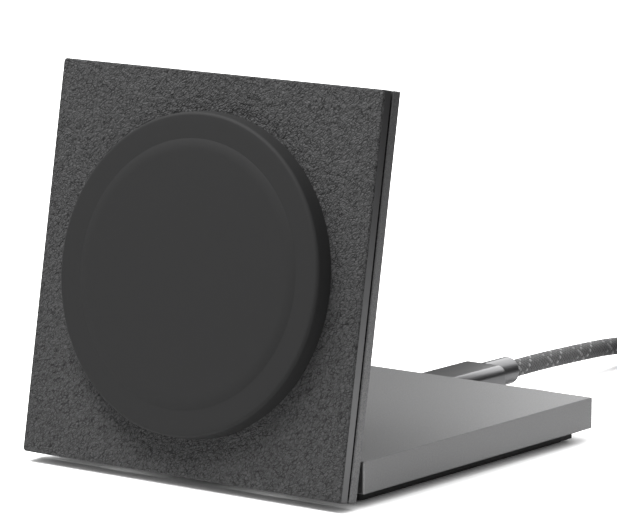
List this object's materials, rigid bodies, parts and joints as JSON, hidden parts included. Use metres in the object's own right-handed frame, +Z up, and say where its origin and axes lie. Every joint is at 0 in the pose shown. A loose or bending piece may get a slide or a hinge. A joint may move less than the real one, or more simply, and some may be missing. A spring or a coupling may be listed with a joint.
{
  "type": "wireless charger",
  "caption": "Folding magnetic phone charging stand: leather-faced square panel with a round soft puck, hinged on a flat metal base, with a braided cable.",
  "frame": {"origin": "centre of the foot pad's underside", "axes": "+Z up, the panel's face looks towards -Y, the socket and cable are towards +Y"},
  "size_m": [0.0896, 0.2013, 0.0809],
  "materials": {
    "slab_metal": "fine blasted, anodised dark grey",
    "plate_metal": "coarse blasted, anodised dark grey",
    "tray_metal": "smooth, anodised dark grey",
    "plug_metal": "satin, anodised grey",
    "steel": "plain",
    "bronze": "plain",
    "magnet": "nickel plated",
    "copper_wire": "enamelled",
    "leather": "pebbled dark grey",
    "soft_touch": "matt soft touch, dark grey",
    "black_plastic": "matt black",
    "rubber": "matt black",
    "board": "solder mask",
    "ceramic_parts": "matt",
    "cable_braid": "braided, grey with light flecks",
    "tie_fabric": "woven strap"
  },
  "bodies": {
    "base": {"base_shell": "slab_metal", "bottom_cover": "black_plastic", "foot_pad": "rubber", "cover_screws": "steel", "steel_weight": "steel", "main_board": "board", "board_screws": "steel", "controller_chips": "black_plastic", "power_inductor": "black_plastic", "tank_capacitors": "ceramic_parts", "port_shell": "steel", "port_tongue": "black_plastic", "hinge_bracket": "steel", "bracket_screws": "steel", "friction_sleeves": "bronze", "hinge_washers": "steel", "lead_lower": "rubber", "plug_shell": "steel", "plug_insert": "black_plastic", "plug_grip": "plug_metal", "plug_collar": "plug_metal", "cable_run": "cable_braid", "cable_coil": "cable_braid", "cable_tail": "cable_braid", "cable_tie": "tie_fabric", "far_plug_collar": "plug_metal", "far_plug_grip": "plug_metal", "far_plug_shell": "steel", "far_plug_insert": "black_plastic"},
    "panel": {"hinge_arm": "steel", "hinge_pin": "steel", "pin_clips": "steel", "arm_screws": "steel", "back_plate": "plate_metal", "spacer_frame": "black_plastic", "front_tray": "tray_metal", "tray_screws": "steel", "leather_facing": "leather", "puck_cover": "soft_touch", "coil_carrier": "black_plastic", "carrier_screws": "steel", "magnet_yoke": "steel", "magnet_ring": "magnet", "shield_plate": "steel", "ferrite_disc": "ceramic_parts", "charging_coil": "copper_wire", "heat_sensor": "ceramic_parts", "lead_upper": "rubber"}
  },
  "joints": [
    {"name": "panel_fold", "type": "hinge", "parent": "base", "child": "panel", "pos_m": [0, -0.0376, 0.0062], "axis": [-1, 0, 0], "range_deg": [0, 80]}
  ]
}
